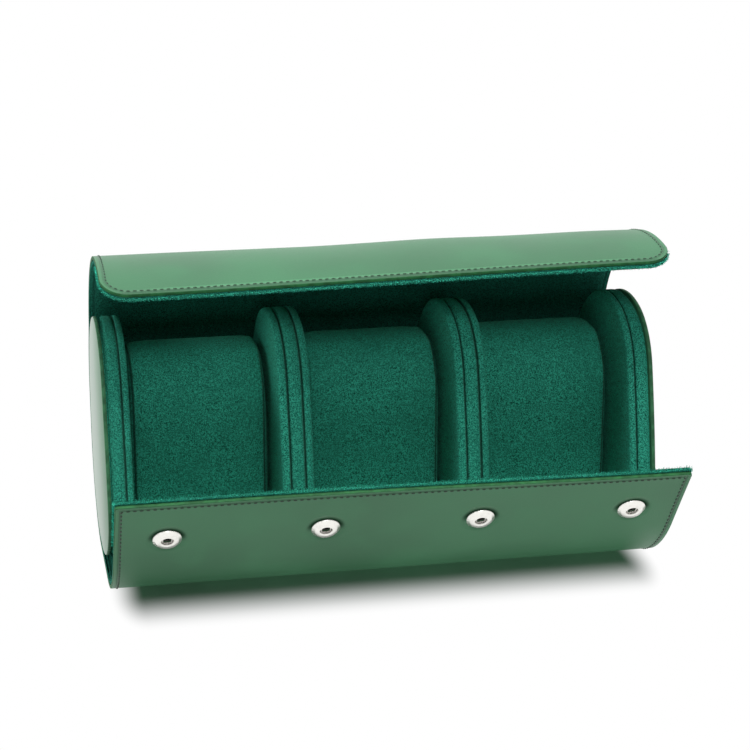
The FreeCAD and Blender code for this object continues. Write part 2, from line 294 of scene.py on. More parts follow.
def body_outline():
    upper = [(BACK_LOW_RADIUS, 90.0), (BACK_DROP, 0), (CROWN_RADIUS, CROWN_ANGLE)] + BROW_FACE_CHIN
    open_run = Outline((BOTTOM_BACK_Y, WRAP_THICK), 0.0, upper)
    end, heading = open_run.at(open_run.length())
    left = 360.0 - heading
    belly_radius = (end.y - WRAP_THICK) / (1 - math.cos(math.radians(left)))
    front = end.x + belly_radius * math.sin(math.radians(left))
    return Outline((front, WRAP_THICK), 0.0, [(BOTTOM_BACK_Y - front, 0)] + upper + [(belly_radius, left)])


def flap_outline():
    trial = Outline((0.0, 0.0), -FLAP_SLOPE, FLAP_BENDS)
    end = trial.at(trial.length())[0]
    start = (FLAT_FRONT_Y - end.x, WRAP_THICK - end.y)
    return Outline(start, -FLAP_SLOPE, FLAP_BENDS + [(BOTTOM_BACK_Y - FLAT_FRONT_Y, 0)])


def back_outline():
    stretches = [(BOTTOM_BACK_Y - FOOT_FOLD_Y, 0), (BACK_LOW_RADIUS, 90.0), (BACK_DROP, 0)]
    stretches.append((CROWN_RADIUS, BACK_FOLD_HEADING - 90.0))
    return Outline((FOOT_FOLD_Y, WRAP_THICK), 0.0, stretches)


def lid_outline(back):
    end, heading = back.at(back.length())
    return Outline(end + outward(heading, LID_LIFT), LID_HEADING, LID_BENDS)


BODY = body_outline()
FLAP = flap_outline()
BACK = back_outline()
LID = lid_outline(BACK)
FOOT_FOLD = FLAP.length() - (BOTTOM_BACK_Y - FOOT_FOLD_Y)

# Distance from each free edge to the seam where the next strip starts
REACHES = {"front": FOOT_SEAM, "lid": LID.length() - LID_SEAM}

# How each strip bends: its two bodies, its fold, and the stretch over which it turns
BENDS = {
    "front": ("front_flap", "flap_foot", FLAP, FLAP_FOLD, 11.0 * MM, 11.0 * MM),
    "foot": ("flap_foot", "case", FLAP, FOOT_FOLD, 12.0 * MM, 2.0 * MM),
    "back": ("case", "lid_rear", LID, 0.0, 2.0 * MM, 14.0 * MM),
    "lid": ("lid_rear", "lid_front", LID, LID_FOLD, 13.0 * MM, 13.0 * MM),
}


def bridged(first, second):
    """Joins two rows of samples by a smooth curve."""
    (p0, h0), (p1, h1) = first[-1], second[0]
    span = (p1 - p0).length
    t0, t1 = ahead(h0) * span, ahead(h1) * span
    middle = []
    for index in range(1, BRIDGE_STEPS):
        s = index / BRIDGE_STEPS
        a, b = 2 * s**3 - 3 * s**2 + 1, s**3 - 2 * s**2 + s
        c, d = -2 * s**3 + 3 * s**2, s**3 - s**2
        point = a * p0 + b * t0 + c * p1 + d * t1
        slope = (6 * s**2 - 6 * s) * (p0 - p1) + (3 * s**2 - 4 * s + 1) * t0 + (3 * s**2 - 2 * s) * t1
        middle.append((point, math.degrees(math.atan2(slope.y, slope.x)) % 360))
    return first + middle + second


def from_edge(strip, distance):
    """The point and heading on a free strip's inside, that far from its free edge."""
    return FLAP.at(distance) if strip == "front" else LID.at(LID.length() - distance)


def strip_rows(strip, run_back=0.0):
    """Distance from the free edge, point and heading of each row, from the flap's edge towards the lid's."""
    if strip == "foot":
        base = FLAP.length() - (BOTTOM_BACK_Y - BASE_SEAM_Y)
        return [(math.inf, *sample) for sample in FLAP.samples(FOOT_SEAM, base, STEP)]
    if strip == "back":
        first = BACK.samples(BASE_SEAM_Y - FOOT_FOLD_Y, BACK.length() - FOLD_EASE, STEP)
        return [(math.inf, *sample) for sample in bridged(first, LID.samples(FOLD_EASE, LID_SEAM, STEP))]
    distances = [
        CORNERS[strip] * (1 - math.cos(turn)) + run_back
        for turn in spread(0.0, QUARTER, CORNER_ROWS)
    ]
    first, far = distances[-1], REACHES[strip]
    distances += spread(first, far, round((far - first) / STEP) + 1)[1:-1] + [far - SEAM_STEP, far]
    rows = [(distance, *from_edge(strip, distance)) for distance in distances]
    return rows if strip == "front" else rows[::-1]


def bend(obj, strip):
    first, second, run, fold, before, after = BENDS[strip]
    point, heading = run.at(fold)
    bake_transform(obj)


def eased(share):
    share = min(max(share, 0.0), 1.0)
    return share * share * (3 - 2 * share)


def settle(strip, x, distance):
    """How far a strip stands off its drawn line: soft waves and a lifted right end, if it has a free edge."""
    if strip not in CORNERS:
        return 0.0
    reach = REACHES[strip]
    fade = eased(distance / WAVE_FADE) * eased((reach - distance) / WAVE_FADE)
    wave = WAVES[strip] * fade * noise.noise(
        Vector((x * WAVE_SCALE[0], distance * WAVE_SCALE[1], WAVE_SLICE))
    )
    lift, across, along = LIFTS[strip]
    share = eased((x + HALF_LENGTH) / (2 * HALF_LENGTH)) ** across
    return wave + lift * share * (1 - distance / reach) ** along


# Mesh helpers


def new_object(name, data, *finishes):
    obj = bpy.data.objects.new(name, data)
    bpy.context.scene.collection.objects.link(obj)
    for finish in finishes:
        data.materials.append(finish_named(finish))
    return obj


def aim(obj, spot, way):
    """Sets a lamp or camera down so that it looks along a way."""
    obj.location = spot
    obj.rotation_mode = "QUATERNION"
    obj.rotation_quaternion = way.to_track_quat("-Z", "Y")


def smooth(mesh, angle=35.0):
    mesh.shade_smooth()
    mesh.set_sharp_from_angle(angle=math.radians(angle))


def mesh_from(name, bm):
    mesh = bpy.data.meshes.new(name)
    bm.to_mesh(mesh)
    bm.free()
    return mesh


def merge(bm):
    bmesh.ops.remove_doubles(bm, verts=bm.verts, dist=1e-6)


def finish_mesh(name, bm, angle=35.0):
    merge(bm)
    bmesh.ops.recalc_face_normals(bm, faces=bm.faces)
    mesh = mesh_from(name, bm)
    smooth(mesh, angle)
    return mesh


def applied(obj):
    """Turns obj into a plain mesh of what it shows with its modifiers."""
    graph = bpy.context.evaluated_depsgraph_get()
    mesh = bpy.data.meshes.new_from_object(obj.evaluated_get(graph), depsgraph=graph)
    obj.modifiers.clear()
    obj.data = mesh
    return mesh


def drop(obj):
    bpy.data.objects.remove(obj, do_unlink=True)


def store(mesh, name, values):
    """Keeps a number for each point of a mesh, for the finishes."""
    mesh.attributes.new(name, "FLOAT", "POINT").data.foreach_set("value", values)


def quads(bm, first, second):
    """Faces between two lines of points."""
    return [bm.faces.new(corners) for corners in zip(first, first[1:], second[1:], second)]


def tube_mesh(name, rings, angle=35.0):
    """A closed body through rings of points, with a face over each end."""
    bm = bmesh.new()
    rings = [[bm.verts.new(point) for point in ring] for ring in rings]
    for a, b in zip(rings, rings[1:]):
        quads(bm, a + a[:1], b + b[:1])
    bm.faces.new(rings[0])
    bm.faces.new(rings[-1])
    return finish_mesh(name, bm, angle)


# Sheets of the wrap


def row_half(strip, distance):
    """Half the width of a strip at that distance from its free edge."""
    corner = CORNERS.get(strip, 0.0)
    if distance >= corner:
        return HALF_LENGTH
    return HALF_LENGTH - corner + math.sqrt(max(corner**2 - (corner - distance) ** 2, 0.0))


def sheet_mesh(name, strip, between, rounding, run_back):
    """One strip of the wrap as a closed sheet between two offsets, rounded where no other strip goes on."""
    rows = strip_rows(strip, run_back)
    shares = [math.sin(turn) for turn in spread(-QUARTER, QUARTER, COLUMNS)]
    bm = bmesh.new()
    grids = []
    for offset in between:
        grid = []
        for distance, point, heading in rows:
            line = []
            for share in shares:
                x = share * row_half(strip, distance - run_back)
                stand = offset + settle(strip, x, distance)
                line.append(bm.verts.new(place(point + outward(heading, stand), x)))
            grid.append(line)
        for a, b in zip(grid, grid[1:]):
            quads(bm, a, b)
        grids.append(grid)
    sides = [[line[end] for line in grid] for end in (0, -1) for grid in grids]
    ends = [grid[end] for end in (0, -1) for grid in grids]
    for first, second in (sides[:2], sides[2:], ends[:2], ends[2:]):
        for face in quads(bm, first, second):
            face.material_index = 1
    bmesh.ops.recalc_face_normals(bm, faces=bm.faces)
    free = [grid[end] for end in (0, -1) for grid in grids if rows[end][0] < STEP]
    sharp = [bm.edges.get(pair) for line in sides + free for pair in zip(line, line[1:])]
    bmesh.ops.bevel(bm, geom=sharp, offset=rounding, segments=3, profile=0.5, affect="EDGES", material=1)
    return finish_mesh(name, bm)


def edge_attributes(mesh, strip):
    """Stores how far each point is from the side and from the free edge of its strip."""
    places = np.empty(len(mesh.vertices) * 3)
    mesh.vertices.foreach_get("co", places)
    places = places.reshape(-1, 3)
    edge = np.full(len(places), NO_EDGE)
    if strip in CORNERS:
        length = FLAP.length() if strip == "front" else LID.length()
        distances = np.linspace(0.0, length, EDGE_SPOTS)
        spots = np.array([place(from_edge(strip, distance)[0], 0.0) for distance in distances.tolist()])
        gaps = places[:, None, 1:] - spots[None, :, 1:]
        edge = distances[np.argmin((gaps**2).sum(axis=2), axis=1)]
    store(mesh, "side", (HALF_LENGTH - np.abs(places[:, 0])).astype(np.float32))
    store(mesh, "edge", edge.astype(np.float32))


def drilled(obj):
    """Cuts the post holes of the four snaps through a strip of the flap."""
    point, heading = from_edge("front", SNAP_EDGES["front"])
    turn = raised(outward(heading, 1.0)).to_track_quat("Z", "X").to_matrix().to_4x4()
    hole = {"cap_ends": True, "segments": 32, "radius1": POST_HOLE_RADIUS, "radius2": POST_HOLE_RADIUS}
    bm = bmesh.new()
    for x in SNAP_PLACES:
        centre = Matrix.Translation(place(point + outward(heading, WRAP_THICK / 2), x))
        bmesh.ops.create_cone(bm, depth=WRAP_THICK * 4, matrix=centre @ turn, **hole)
    cutter = new_object("post_holes", mesh_from("post_holes", bm))
    modifier = obj.modifiers.new("Holes", "BOOLEAN")
    modifier.operation = "DIFFERENCE"
    modifier.solver = "EXACT"
    modifier.object = cutter
    smooth(applied(obj))
    drop(cutter)


def wrap_sheet(layer, strip, between, rounding, run_back, finishes):
    """A strip's sheet as an object, with the post holes cut in the flap's."""
    name = layer + "_" + strip
    obj = new_object(name, sheet_mesh(name, strip, between, rounding, run_back), *finishes)
    if strip == "front":
        drilled(obj)
    edge_attributes(obj.data, strip)
    bend(obj, strip)
    return obj


# Finishes


def operation(name):
    """The method that works out a sum of that name as one node."""

    def method(self, *others):
        return self.finish.value(0, "ShaderNodeMath", dict(enumerate((self, *others))), operation=name)

    return method


class Value:
    """A number on a surface, as a node socket on which sums can be written."""

    __add__ = __radd__ = operation("ADD")
    __sub__ = operation("SUBTRACT")
    __mul__ = __rmul__ = operation("MULTIPLY")
    __truediv__ = operation("DIVIDE")
    least = operation("MINIMUM")
    most = operation("MAXIMUM")
    size = operation("ABSOLUTE")
    root = operation("SQRT")
    modulo = operation("FLOORED_MODULO")

    def __init__(self, finish, socket):
        self.finish = finish
        self.socket = socket

    def __rsub__(self, other):
        return self * -1.0 + other

    def hypot(self, other):
        return (self * self + other * other).root()

    def band(self, low, high):
        """Rises smoothly from 0 to 1 between low and high."""
        inputs = {"Value": self, "From Min": low, "From Max": high}
        return self.finish.value("Result", "ShaderNodeMapRange", inputs, interpolation_type="SMOOTHSTEP")

    def fade(self, low, high):
        """Falls smoothly from 1 to 0 between low and high."""
        return 1.0 - self.band(low, high)


class Tree:
    """A tree of nodes. A node given as an input stands for its first output."""

    def __init__(self, tree):
        self.tree = tree
        tree.nodes.clear()

    def node(self, kind, inputs=None, **settings):
        """Adds a node with its settings, then its values and links."""
        made = self.tree.nodes.new(kind)
        for key, value in settings.items():
            setattr(made, key, value)
        for key, value in (inputs or {}).items():
            if isinstance(value, Value):
                value = value.socket
            if isinstance(value, bpy.types.Node):
                value = value.outputs[0]
            if isinstance(value, bpy.types.NodeSocket):
                self.tree.links.new(value, made.inputs[key])
            else:
                made.inputs[key].default_value = value
        return made


def scaled(colour, share):
    return tuple(min(channel * share, 1.0) for channel in colour)


class Finish(Tree):
    """The nodes of a material or world, its plain colour, and the tone made of that so far."""

    def __init__(self, owner, colour=None):
        owner.use_nodes = True
        super().__init__(owner.node_tree)
        self.colour = colour
        self.tone = colour

    def value(self, output, kind, inputs=None, **settings):
        return Value(self, self.node(kind, inputs, **settings).outputs[output])

    def rays(self):
        """1 for rays from the camera, and 1 for those and the mirrored ones."""
        path = self.node("ShaderNodeLightPath").outputs
        camera = Value(self, path["Is Camera Ray"])
        return camera, camera.most(Value(self, path["Is Glossy Ray"]))

    def white(self, kind, strength):
        return self.node(kind, {"Color": WHITE, "Strength": strength})

    def points(self):
        return self.node("ShaderNodeTexCoord").outputs["Object"]

    def axes(self):
        split = self.node("ShaderNodeSeparateXYZ", {0: self.points()})
        return [Value(self, split.outputs[index]) for index in range(3)]

    def attribute(self, name):
        return self.value("Fac", "ShaderNodeAttribute", attribute_name=name)

    def noise(self, scale, detail=2.0, roughness=0.5):
        inputs = {"Vector": self.points(), "Scale": scale, "Detail": detail, "Roughness": roughness}
        return self.value("Fac", "ShaderNodeTexNoise", inputs)

    def cells(self, scale):
        inputs = {"Vector": self.points(), "Scale": scale}
        return self.value("Distance", "ShaderNodeTexVoronoi", inputs, feature="DISTANCE_TO_EDGE")

    def mixed(self, factor, first, second):
        colours = [
            value if isinstance(value, bpy.types.NodeSocket) else (*value, 1.0)
            for value in (first, second)
        ]
        inputs = {0: factor, 6: colours[0], 7: colours[1]}
        return self.node("ShaderNodeMix", inputs, data_type="RGBA", clamp_factor=True).outputs[2]

    def vary(self, factor, low, high):
        """Starts the tone between two shares of the plain colour."""
        self.tone = self.mixed(factor, scaled(self.colour, low), scaled(self.colour, high))

    def tint(self, factor, share):
        """Turns the tone towards a share of the plain colour."""
        self.tone = self.mixed(factor, self.tone, scaled(self.colour, share))

    def blended(self, factor, first, second):
        """Joins two surfaces, or shows the first alone when there is no factor."""
        if factor is None:
            return first
        return self.node("ShaderNodeMixShader", {0: factor, 1: first, 2: second})

    def show(self, surface, output="ShaderNodeOutputMaterial"):
        self.node(output, {"Surface": surface})

    def shell(self, height, deep, strength, painted_shadow=None, **inputs):
        """The tone as a bumpy surface, mixed into a dull dark surface as painted shadow where that is asked
        for.
        """
        named = {key.replace("_", " "): value for key, value in inputs.items()}
        bump = self.node("ShaderNodeBump", {"Height": height, "Distance": deep, "Strength": strength})
        surface = self.node("ShaderNodeBsdfPrincipled", {"Base Color": self.tone, "Normal": bump, **named})
        dark = None
        if painted_shadow is not None:
            # A dull dark surface that stands in for shadow: painted shadow
            dull = {
                "Base Color": (*scaled(self.colour, 0.12), 1.0),
                "Roughness": 0.9,
                "Specular IOR Level": 0.0,
            }
            dark = self.node("ShaderNodeBsdfPrincipled", dull)
        self.show(self.blended(painted_shadow, surface, dark))


def seam_distance(finish, corner):
    """How far a point is from the sewn outline's edge, rounded at the corner."""
    side = finish.attribute("side")
    edge = finish.attribute("edge")
    deep = (side - corner).least(edge - corner).most(0.0)
    return corner - (corner - side).most(0.0).hypot((corner - edge).most(0.0)) + deep


def snap_axes(finish):
    """How far a point of the flap is from the nearest snap's axis, up the flap, and out from its inside."""
    x, y, z = finish.axes()
    point, heading = from_edge("front", SNAP_EDGES["front"])
    angle = math.radians(heading)
    y, z = y - (point.x - ORIGIN_Y), z - point.y
    along = y * math.cos(angle) + z * math.sin(angle)
    deep = y * math.sin(angle) - z * math.cos(angle)
    across = x.modulo(SNAP_SPACING) - SNAP_SPACING / 2
    return across.hypot(along), along, deep


def leather_finish(finish, corner=None, inset=0.0, snaps=False, turned=0.0, coat=0.12, shine=0.55):
    """Coated leather, shinier towards the back where it has no corner. Where it has a corner: a seam groove
    darkened with painted shade, a painted highlight along the cut edge, and on a turned edge a painted
    highlight beside the seam and painted shade on the border; round the snaps, painted shade and a painted
    shadow.
    """
    painted_shadow = None
    broad, cloud = finish.noise(14.0), finish.noise(55.0, 3.0)
    grain, pores = finish.cells(900.0), finish.noise(2600.0)
    finish.vary(broad.band(0.3, 0.7), 0.85, 1.13)
    finish.tint(cloud.band(0.45, 0.75) * 0.35, 1.25)
    height = grain.band(0.0, 0.25) * 0.5 + pores * 0.35 + cloud * 1.2
    rough = 0.40 + cloud * 0.10 + pores * 0.06
    if corner is None:
        coat = finish.axes()[1].band(-45.0 * MM, 50.0 * MM) * (0.98 - coat) + coat
    else:
        away = seam_distance(finish, corner)
        edge = finish.attribute("edge")
        groove_and_shade = (away - inset).size().fade(0.25 * MM, 0.75 * MM)
        # Painted highlight: a pale line 1.1 mm past the seam, away from the cut edge, clear of the ends, as
        # strong as the edge is turned
        seam_highlight = (edge - inset - 1.1 * MM).size().fade(0.2 * MM, 0.7 * MM)
        seam_highlight = seam_highlight * finish.attribute("side").band(13.0 * MM, 30.0 * MM)
        # Painted shade: the margin between the cut edge and the seam is darker, as strong as the edge is
        # turned; it is also rougher with less coat
        shaded_border = edge.fade(inset * 0.75, inset * 1.15) * turned
        # Painted shade: the seam's groove is darker; the groove itself is a bump
        finish.tint(groove_and_shade * (0.55 - 0.4 * turned), 0.30)
        # Painted highlight: the leather within 1.5 mm of its cut edge is lighter
        finish.tint(away.fade(0.5 * MM, 1.5 * MM) * 0.35, 1.5)
        finish.tint(seam_highlight * turned, 2.0)
        finish.tint(shaded_border, 0.3)
        rough = rough + shaded_border * 0.35
        coat = (1.0 - shaded_border) * coat
        height = height - groove_and_shade * 5.0
    if snaps:
        away, along, _ = snap_axes(finish)
        dent_and_shade = away.fade(6.2 * MM, 9.5 * MM)
        height = height - dent_and_shade * 14.0
        # Painted shade: the leather is darker round each snap where it is pressed in; the dent itself is a
        # bump
        finish.tint(dent_and_shade * 0.25, 0.6)
        # Painted shadow: a dull dark crescent round each snap, on its side towards the free edge
        painted_shadow = away.fade(6.4 * MM, 8.6 * MM) * (along * -1.0).band(-3.0 * MM, 2.5 * MM) * 0.9
    gloss = {"Specular_IOR_Level": shine, "Coat_Weight": coat, "Coat_Roughness": 0.28}
    finish.shell(height, 0.05 * MM, 0.9, painted_shadow, Roughness=rough, **gloss)


def edge_finish(finish):
    """Painted cut edge of leather."""
    finish.vary(finish.noise(300.0, 3.0).band(0.35, 0.7), 0.8, 1.5)
    finish.shell(finish.noise(1800.0, 3.0), 0.05 * MM, 0.8, Roughness=0.6, Specular_IOR_Level=0.2)


def suede_finish(finish, seam=None, corner=None, inset=0.0):
    """Napped suede, with a seam that far from the middle, or one inside a sewn corner, each a groove darkened
    with painted shade.
    """
    nap, tuft = finish.noise(2300.0, 2.0, 0.6), finish.noise(1100.0)
    finish.vary(nap.band(0.37, 0.65), 0.24, 1.75)
    finish.tint(finish.noise(38.0, 3.0, 0.6).band(0.35, 0.7) * 0.45, 0.66)
    finish.tint(tuft.band(0.50, 0.70) * 0.42, 2.0)
    height = nap * 1.6 + tuft * 1.0
    if seam is not None:
        groove_and_shade = (finish.attribute("across").size() - seam).size().fade(0.15 * MM, 0.65 * MM)
        # Painted shade: the seam's groove is darker; the groove itself is a bump
        finish.tint(groove_and_shade * 0.78, 0.12)
        height = height - groove_and_shade * 3.0
    if corner is not None:
        groove_and_shade = (seam_distance(finish, corner) - inset).size().fade(0.25 * MM, 0.8 * MM)
        # Painted shade: the sewn corner's groove is darker; the groove itself is a bump
        finish.tint(groove_and_shade * 0.5, 0.35)
        height = height - groove_and_shade * 2.0
    sheen = {"Sheen_Weight": 0.12, "Sheen_Roughness": 0.40, "Sheen_Tint": (0.25, 0.85, 0.60, 1.0)}
    finish.shell(height, 0.22 * MM, 0.8, Roughness=0.95, Specular_IOR_Level=0.08, **sheen)


def thread_finish(finish):
    """Twisted sewing thread."""
    twist = finish.noise(2500.0)
    finish.vary(twist.band(0.3, 0.7), 0.7, 1.3)
    finish.shell(twist, 0.05 * MM, 0.8, Roughness=0.62, Sheen_Weight=0.2)


def nickel_finish(finish, dullness=0.22, shaft=False, bore=False):
    """Worn nickel plate, with painted shade on the front of a shaft or down in a bore."""
    worn, scratch = finish.noise(500.0, 3.0, 0.6), finish.noise(3000.0)
    finish.vary(worn.band(0.45, 0.75) * 0.4, 1.0, 0.78)
    if shaft:
        # Painted shade: the shaft goes dark towards the flap's outside, where it is seen down the bore
        finish.tint(snap_axes(finish)[2].band(0.3 * MM, 1.2 * MM), 0.10)
    if bore:
        # Painted shade: the socket goes dark brown down in its bore
        bore_shade = snap_axes(finish)[0].fade(2.2 * MM, 2.75 * MM) * 0.9
        finish.tone = finish.mixed(bore_shade, finish.tone, (0.10, 0.075, 0.055))
    finish.shell(worn + scratch * 0.4, 0.03 * MM, 0.5, Metallic=1.0, Roughness=dullness + worn * 0.14)


def finish_named(name):
    """The material of that name, made the first time it is asked for."""
    found = bpy.data.materials.get(name)
    if found:
        return found
    colours = bpy.context.scene.case_colours
    leather, suede, nickel = tuple(colours.leather), tuple(colours.suede), tuple(colours.nickel)
    # One suede in two tones: the lining is a darker copy with painted shade, the rims and cushions a lighter
    # copy with painted light
    lining, rim = scaled(suede, 0.8), scaled(suede, 1.22)
    inset = bpy.context.scene.case_sizes.seam_inset
    flap, lid = [{"corner": CORNERS[strip], "inset": inset} for strip in ("front", "lid")]
    satin = {"coat": 0.05, "shine": 0.36}
    maker, colour, settings = {
        "flap_leather": (leather_finish, leather, {**flap, **satin, "snaps": True}),
        "foot_leather": (leather_finish, leather, {**flap, **satin}),
        # turned sets the lid's painted shade on the border and painted highlight beside the seam, and lessens
        # the groove's painted shade
        "lid_leather": (leather_finish, leather, {**lid, "turned": 0.5}),
        "wrap_leather": (leather_finish, leather, flap),
        "end_leather": (leather_finish, leather, {"coat": 0.42}),
        "leather_edge": (edge_finish, tuple(colours.leather_edge), {}),
        "end_piping": (edge_finish, scaled(leather, 0.7), {}),
        "flap_suede": (suede_finish, lining, flap),
        "lid_suede": (suede_finish, lining, lid),
        "panel_suede": (suede_finish, lining, {}),
        "fringe_suede": (suede_finish, scaled(suede, 2.0), {}),
        "end_suede": (suede_finish, rim, {"seam": END_SEAM}),
        "divider_suede": (suede_finish, rim, {"seam": DIVIDER_SEAM}),
        "cushion_suede": (suede_finish, rim, {"seam": CUSHION_SEAM}),
        # One thread in two tones: the flap's dark thread carries painted shade of the stitch holes, the lid's
        # is a lighter copy
        "lid_thread": (thread_finish, scaled(leather, 0.3), {}),
        "sewing_thread": (thread_finish, tuple(colours.thread), {}),
        "snap_nickel": (nickel_finish, nickel, {}),
        "socket_nickel": (nickel_finish, nickel, {"bore": True}),
        "snap_shaft": (nickel_finish, nickel, {"dullness": 0.35, "shaft": True}),
        # The posts are the nickel at 12 percent of its brightness: painted shade for where they sit in the
        # holes
        "snap_post": (nickel_finish, scaled(nickel, 0.12), {"dullness": 0.5}),
    }[name]
    material = bpy.data.materials.new(name)
    maker(Finish(material, colour), **settings)
    return material


# The wrap


class CASE_OT_leather(Operator):
    """Builds the outer leather as four strips"""

    bl_idname = "travel_case.leather"
    bl_label = "Outer leather"

    def execute(self, context):
        sizes = context.scene.case_sizes
        between = (WRAP_THICK - sizes.leather_thick, WRAP_THICK)
        for strip, (leather, _, parts) in STRIPS.items():
            finishes = (leather, "leather_edge")
            obj = wrap_sheet("leather", strip, between, sizes.edge_round, sizes.lining_step, finishes)
            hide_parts(*[part + "_leather" for part in parts], *[part + "_board" for part in parts])
        return {"FINISHED"}


class CASE_OT_lining(Operator):
    """Builds the suede lining of the wrap, with its soft rolled edges"""

    bl_idname = "travel_case.lining"
    bl_label = "Suede lining"

    def execute(self, context):
        between = (0.0, WRAP_THICK - context.scene.case_sizes.leather_thick - LAYER_GAP)
        for strip, (_, suede, parts) in STRIPS.items():
            obj = wrap_sheet("lining", strip, between, LINING_ROUND, 0.0, (suede, "panel_suede"))
            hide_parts(*[part + "_lining" for part in parts])
        return {"FINISHED"}


# Rims of the end panels and dividers


def swept_rim(name, profile, middle):
    """A closed rim: a row of (x, inset) points carried round the end panel's outline."""
    samples = BODY.samples(0.0, BODY.length(), RIM_STEP)[:-1]
    rings = [
        [place(point + outward(heading, -inset), x) for point, heading in samples]
        for x, inset in profile
    ]
    mesh = tube_mesh(name, rings, 50.0)
    across_attribute(mesh, middle)
    return mesh


def across_attribute(mesh, middle):
    """Stores how far each point is from a line across the case, for the seams."""
    store(mesh, "across", [vert.co.x - middle for vert in mesh.vertices])


def padded_band(first, last):
    """Points across one suede band, full in the middle and tucked in at both edges."""
    heights = [RIM_GAP + (SEAM_DEPTH - RIM_GAP) * t**4 for t in spread(-1.0, 1.0, BAND_POINTS)]
    return list(zip(spread(first, last, BAND_POINTS), heights))


def rounded_shoulder(x):
    """Points of a quarter turn from the rim down on to a side face, and one further in."""
    row = []
    for turn in spread(0.0, QUARTER, SHOULDER_POINTS):
        row.append((x + SHOULDER * math.sin(turn), RIM_GAP + SHOULDER * (1 - math.cos(turn))))
    return row + [(x + SHOULDER, SIDE_DEPTH)]


class CASE_OT_ends(Operator):
    """Builds the two end panels: a leather face outside and sewn suede bands round the rim"""

    bl_idname = "travel_case.ends"
    bl_label = "End panels"

    def execute(self, context):
        soft = context.scene.case_sizes.edge_round
        face = [(END_LEATHER, RIM_GAP + soft), (END_LEATHER - soft * 0.3, RIM_GAP + soft * 0.3)]
        face += [(END_LEATHER - soft, RIM_GAP), (soft * 1.6, RIM_GAP)]
        face += [(soft * 0.5, RIM_GAP + soft * 0.5), (0.0, RIM_GAP + soft * 1.6)]
        shoulder = END_INNER - SHOULDER
        bands = END_TUCK + padded_band(END_BAND_START + BAND_EASE, END_SEAM)
        bands += padded_band(END_SEAM, shoulder + 2 * BAND_EASE)[1:6] + rounded_shoulder(shoulder)
        for name, side in (("left", -1.0), ("right", 1.0)):
            outer = side * HALF_LENGTH
            mesh = swept_rim(
                "end_face_" + name, [(outer - side * deep, inset) for deep, inset in face], outer
            )
            obj = new_object("end_face_" + name, mesh, "end_leather", "end_piping")
            for polygon in mesh.polygons:
                polygon.material_index = 0 if abs(polygon.normal.x) > FLAT_FACE else 1
            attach(obj, "case")
            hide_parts("end_leather_" + name)
            mesh = swept_rim(
                "end_suede_" + name, [(outer - side * deep, inset) for deep, inset in bands], outer
            )
            obj = new_object("end_suede_" + name, mesh, "end_suede")
            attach(obj, "case")
            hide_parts("end_band_" + name, "end_lining_" + name, "end_board_" + name)
        return {"FINISHED"}


class CASE_OT_dividers(Operator):
    """Builds the two dividers, each with three sewn suede bands round its rim"""

    bl_idname = "travel_case.dividers"
    bl_label = "Dividers"

    def execute(self, context):
        shoulder = DIVIDER_HALF - SHOULDER
        half = padded_band(DIVIDER_SEAM, shoulder)[:5] + rounded_shoulder(shoulder)
        profile = [(-x, inset) for x, inset in half[::-1]]
        profile += padded_band(-DIVIDER_SEAM, DIVIDER_SEAM)[1:-1] + half
        for name, middle in (("left", -DIVIDER_PLACE), ("right", DIVIDER_PLACE)):
            mesh = swept_rim("divider_" + name, [(middle + x, inset) for x, inset in profile], middle)
            obj = new_object("divider_" + name, mesh, "divider_suede")
            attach(obj, "case")
            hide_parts("divider_board_" + name, "divider_band_" + name, "divider_cheeks_" + name)
        return {"FINISHED"}


# Cushions


def cushion_section(inset):
    """Points round a cushion's side outline, drawn in by inset."""
    radii = [radius - inset for radius in CUSHION_RADII]
    deep = CUSHION_BACK - CUSHION_FRONT - 2 * inset
    high = CUSHION_HIGH.z - CUSHION_LOW.z - 2 * inset
    stretches = []
    for side, first, last in zip((deep, high, deep, high), radii, radii[1:] + radii[:1]):
        stretches += [(side - first - last, 0), (last, 90.0)]
    outline = Outline((CUSHION_FRONT + inset + radii[0], CUSHION_LOW.z + inset), 0.0, stretches)
    return [outline.at(distance)[0] for distance in spread(0.0, outline.length(), CUSHION_POINTS + 1)[:-1]]


def cushion_start():
    """The cushion's cut shape before it is stuffed, a little small all round."""
    profile = [(-share, inset) for share, inset in CUSHION_END] + [(0.0, 0.0)] + CUSHION_END[::-1]
    rings = []
    for share, inset in profile:
        x = share * (CUSHION_HIGH.x - CUSHION_START)
        rings.append([place(point, x) for point in cushion_section(inset + CUSHION_START)])
    return tube_mesh("cushion_start", rings)


def stuffed(mesh, sizes):
    """The cushion after its filling has swelled it, kept inside its bay."""
    obj = new_object("cushion_start", mesh)
    remesh = obj.modifiers.new("Grid", "REMESH")
    remesh.mode = "VOXEL"
    remesh.voxel_size = sizes.cushion_voxel
    before = [vert.co.copy() for vert in applied(obj).vertices]
    cloth = obj.modifiers.new("Cloth", "CLOTH")
    cloth.settings.use_pressure = True
    cloth.settings.uniform_pressure_force = sizes.cushion_pressure
    cloth.settings.effector_weights.gravity = 0.0
    scene = bpy.context.scene
    for step in range(1, sizes.cushion_frames + 1):
        scene.frame_set(step)
    applied(obj)
    scene.frame_set(1)
    for vert, start in zip(obj.data.vertices, before):
        moved = vert.co - start
        if moved.length > CUSHION_CAP:
            vert.co = start + moved.normalized() * CUSHION_CAP
        for axis, (low, high) in enumerate(zip(CUSHION_LOW, CUSHION_HIGH)):
            vert.co[axis] = min(max(vert.co[axis], low + CUSHION_MARGIN), high - CUSHION_MARGIN)
    finer = obj.modifiers.new("Finer", "SUBSURF")
    finer.levels = 2
    finer.render_levels = 2
    result = applied(obj)
    drop(obj)
    return result


